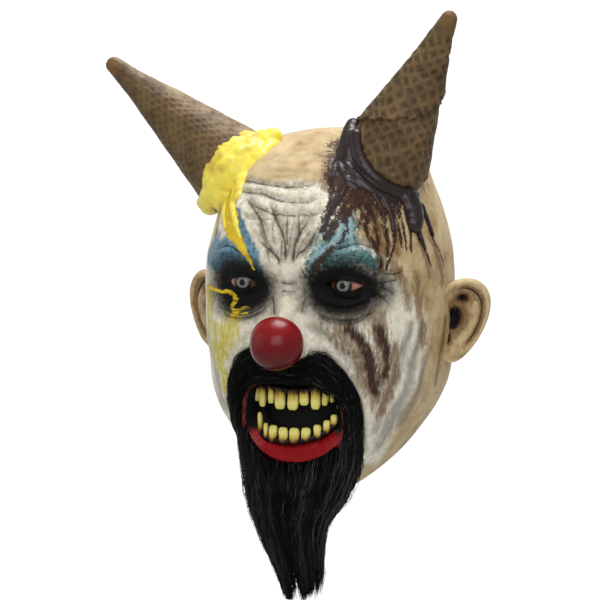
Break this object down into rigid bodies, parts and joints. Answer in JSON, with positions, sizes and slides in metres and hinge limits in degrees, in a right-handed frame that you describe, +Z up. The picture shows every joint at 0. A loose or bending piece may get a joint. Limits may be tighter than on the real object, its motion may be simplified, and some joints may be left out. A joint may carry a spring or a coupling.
{
  "type": "full head horror mask",
  "caption": "Hollow full-head clown mask in cast latex with waffle-cone horns, melted ice-cream collars, ball nose, bared teeth, moustache and a long hanging beard, worn over the head.",
  "frame": {"origin": "inside the crown of the mask, where the top of the wearer's head touches it", "axes": "+Z up, -Y the way the face looks, +X to the wearer's left"},
  "size_m": [0.3131, 0.2674, 0.4653],
  "materials": {
    "latex_skin": "matt latex, airbrushed",
    "waffle": "matt latex with pressed waffle pattern",
    "chocolate_coat": "gloss coat",
    "vanilla_coat": "satin coat",
    "nose_coat": "gloss coat",
    "eye_resin": "painted cast resin, gloss",
    "tooth_resin": "painted cast resin, satin",
    "hair": "black crepe hair"
  },
  "bodies": {
    "root": {"mask_shell": "latex_skin", "cone_left": "waffle", "cone_right": "waffle", "chocolate_melt": "chocolate_coat", "vanilla_melt": "vanilla_coat", "clown_nose": "nose_coat", "eye_left": "eye_resin", "eye_right": "eye_resin", "upper_teeth": "tooth_resin", "lower_teeth": "tooth_resin", "moustache": "hair", "beard": "hair"}
  },
  "joints": []
}
